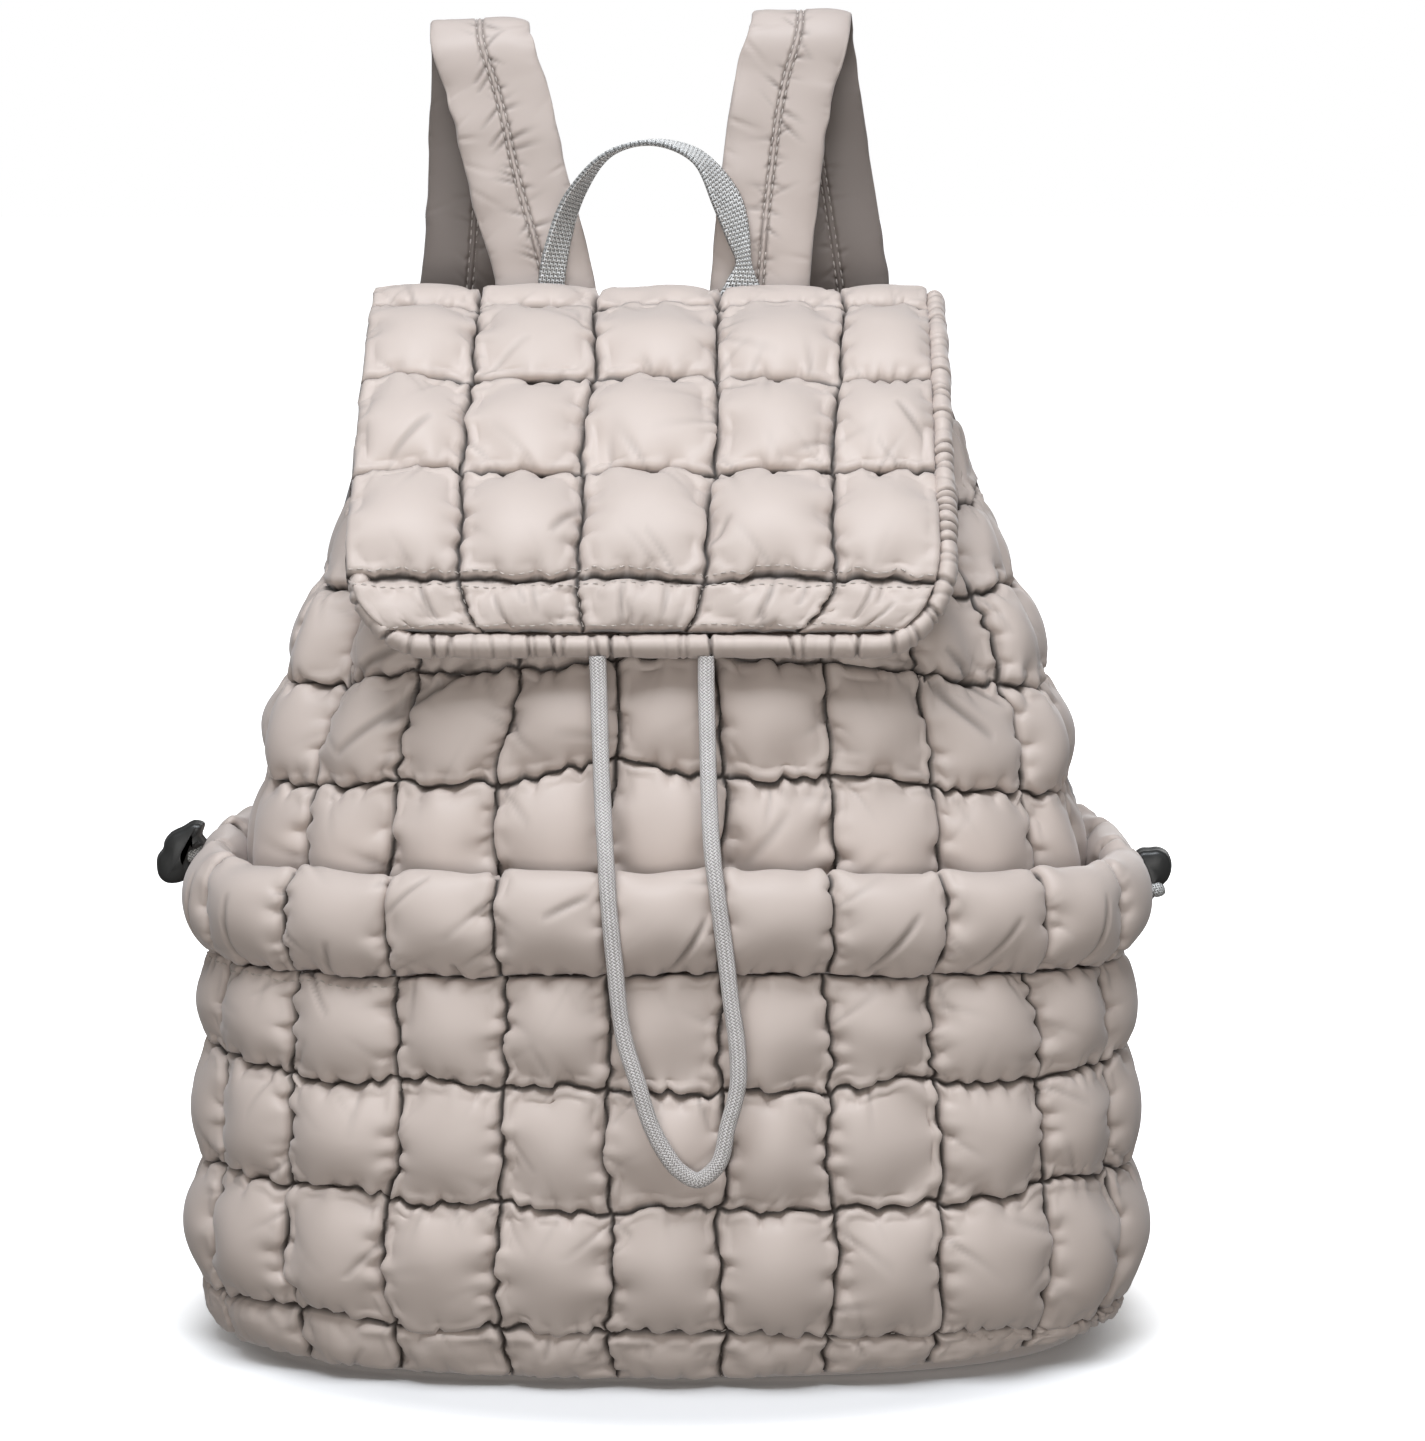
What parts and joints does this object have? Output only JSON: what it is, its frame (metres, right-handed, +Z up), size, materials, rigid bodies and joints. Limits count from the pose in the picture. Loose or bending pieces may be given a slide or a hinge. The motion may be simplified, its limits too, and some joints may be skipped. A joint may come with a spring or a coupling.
{
  "type": "quilted puffer backpack",
  "caption": "Soft quilted backpack with a padded flap, drawcord mouth, wrap-round gathered pocket, two padded shoulder straps and a webbing grab handle.",
  "frame": {"origin": "on the floor under the middle of the base panel", "axes": "+Z up towards the flap's crest, front pocket and flap face -Y, +X to the right seen from the front"},
  "size_m": [0.3812, 0.2491, 0.4916],
  "materials": {
    "quilted_nylon": "satin woven nylon over soft filling, pinkish taupe",
    "plain_nylon": "plain woven nylon, pinkish taupe",
    "silver_webbing": "shiny silver grey woven webbing",
    "cord_braid": "pale braided cord",
    "black_plastic": "smooth black moulded plastic"
  },
  "bodies": {
    "root": {"bag_body": "quilted_nylon", "back_panel": "plain_nylon", "bag_base": "plain_nylon", "pocket_panel": "quilted_nylon", "pocket_casing": "quilted_nylon", "flap_panel": "quilted_nylon", "flap_edge_band": "quilted_nylon", "shoulder_strap_left": "plain_nylon", "shoulder_strap_right": "plain_nylon", "grab_handle": "silver_webbing", "drawcord": "cord_braid", "side_cord_left": "silver_webbing", "side_cord_right": "silver_webbing", "cord_stopper_left": "black_plastic", "cord_stopper_right": "black_plastic"}
  },
  "joints": []
}
